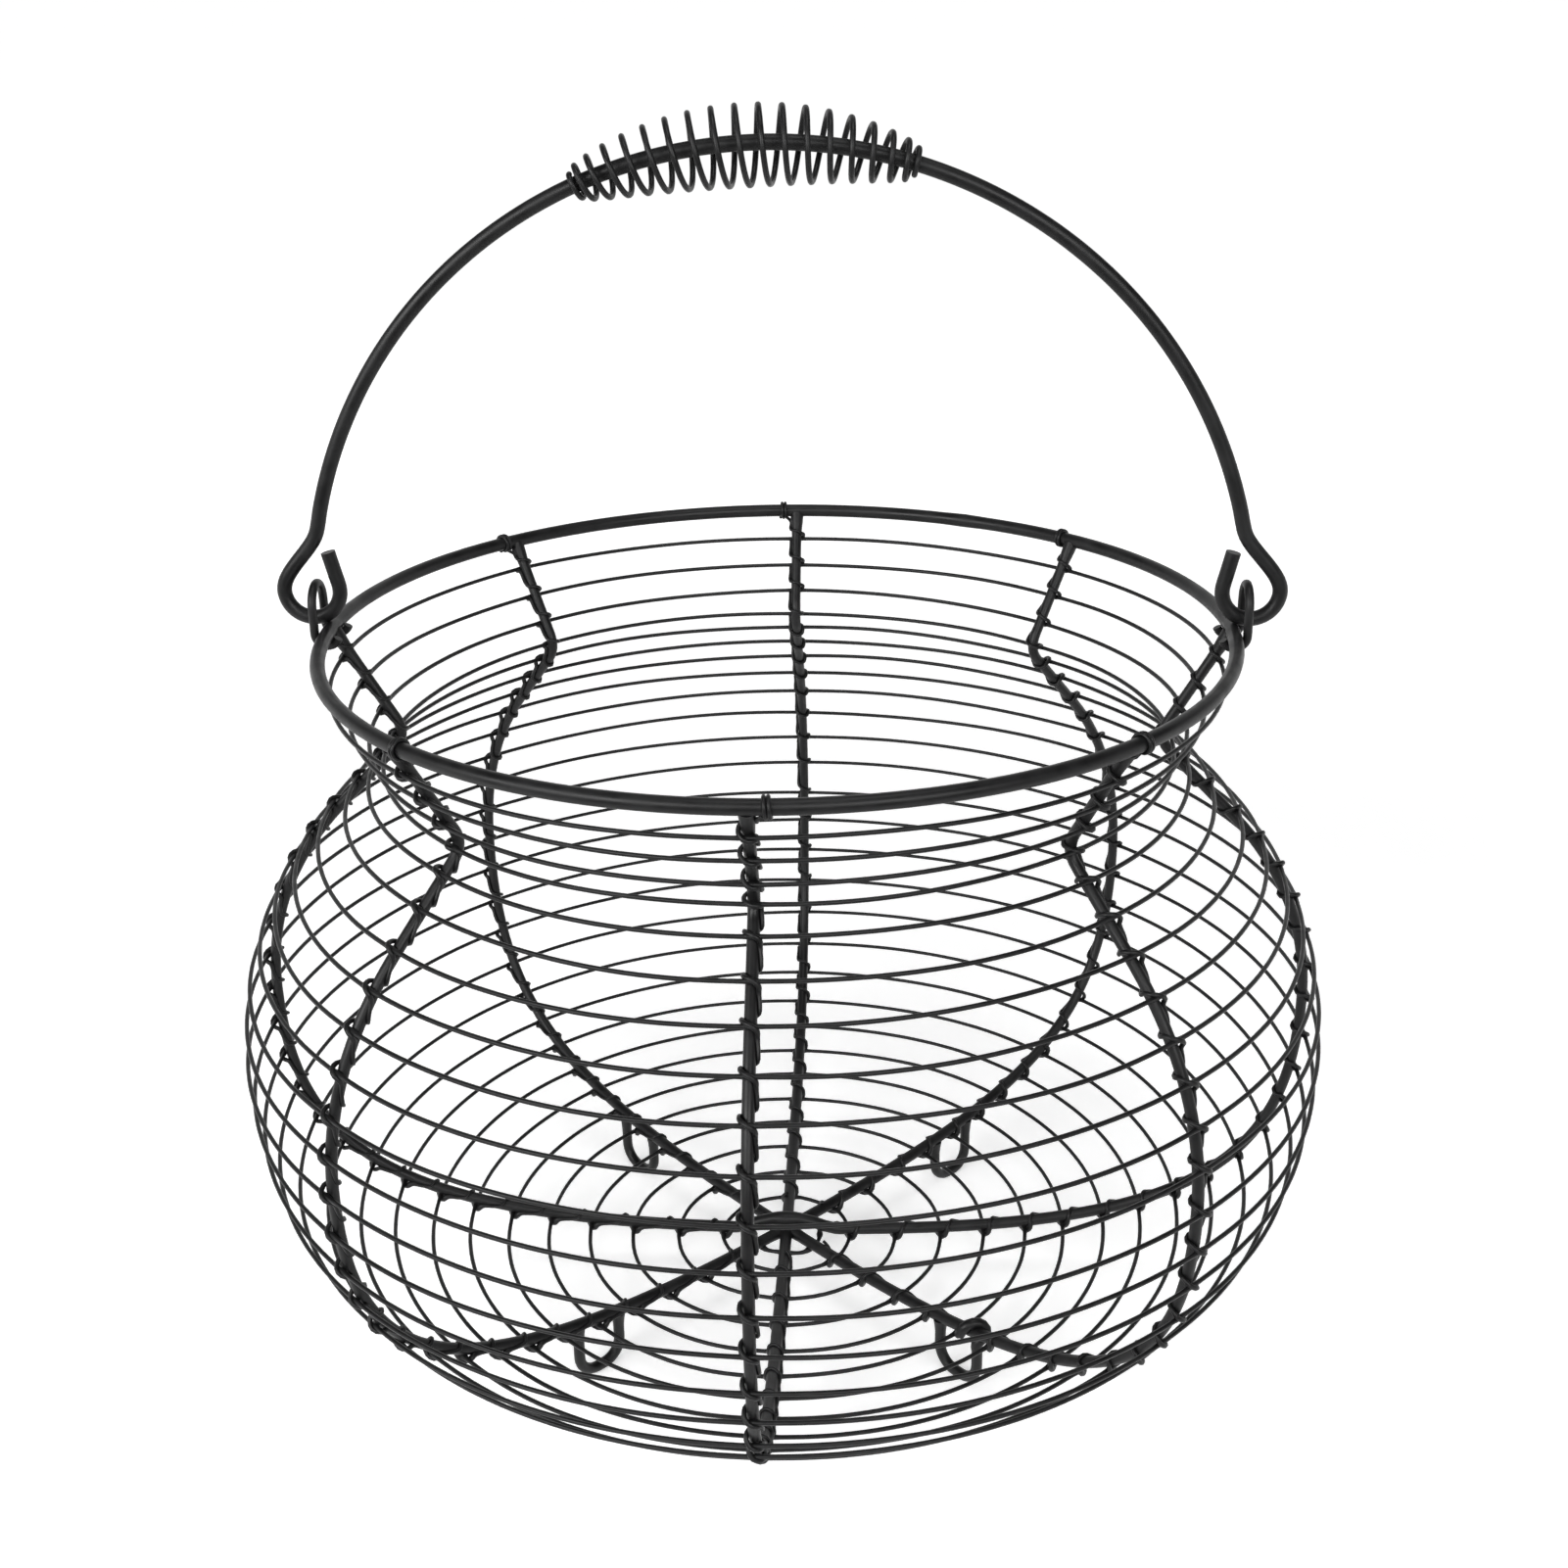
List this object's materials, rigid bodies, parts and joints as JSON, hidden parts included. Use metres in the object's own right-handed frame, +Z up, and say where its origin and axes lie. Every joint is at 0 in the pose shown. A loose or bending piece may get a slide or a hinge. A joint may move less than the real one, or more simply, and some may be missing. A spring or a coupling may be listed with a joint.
{
  "type": "wire egg basket",
  "caption": "Round-bellied wire egg basket with a flared mouth, hoops lashed to ribs, wire loop feet and a swinging bail handle with a coiled-wire grip.",
  "frame": {"origin": "on the ground under the centre of the basket, where its feet stand", "axes": "+Z up, +X along the handle's hinge line to the right hook, -Y towards the viewer of the picture"},
  "size_m": [0.2832, 0.2832, 0.3155],
  "materials": {
    "black_paint": "satin"
  },
  "bodies": {
    "basket": {"rim": "black_paint", "rib_left_right": "black_paint", "rib_front_back": "black_paint", "rib_front_right": "black_paint", "rib_back_right": "black_paint", "rib_back_left": "black_paint", "rib_front_left": "black_paint", "hoop_01": "black_paint", "hoop_02": "black_paint", "hoop_03": "black_paint", "hoop_04": "black_paint", "hoop_05": "black_paint", "hoop_06": "black_paint", "hoop_07": "black_paint", "hoop_08": "black_paint", "hoop_09": "black_paint", "hoop_10": "black_paint", "hoop_11": "black_paint", "hoop_12": "black_paint", "hoop_13": "black_paint", "hoop_14": "black_paint", "hoop_15": "black_paint", "hoop_16": "black_paint", "hoop_17": "black_paint", "hoop_18": "black_paint", "hoop_19": "black_paint", "hoop_20": "black_paint", "hoop_21": "black_paint", "hoop_22": "black_paint", "hoop_23": "black_paint", "hoop_24": "black_paint", "hoop_25": "black_paint", "hoop_26": "black_paint", "hoop_27": "black_paint", "hoop_28": "black_paint", "hoop_29": "black_paint", "binding_right": "black_paint", "binding_back_right": "black_paint", "binding_back": "black_paint", "binding_back_left": "black_paint", "binding_left": "black_paint", "binding_front_left": "black_paint", "binding_front": "black_paint", "binding_front_right": "black_paint", "foot_front_right": "black_paint", "foot_back_right": "black_paint", "foot_back_left": "black_paint", "foot_front_left": "black_paint", "eye_right": "black_paint", "eye_left": "black_paint"},
    "handle": {"bail": "black_paint", "grip_coil": "black_paint"}
  },
  "joints": [
    {"name": "handle_swing", "type": "hinge", "parent": "basket", "child": "handle", "pos_m": [0, 0, 0.1941], "axis": [1, 0, 0], "range_deg": [-85, 85]}
  ]
}
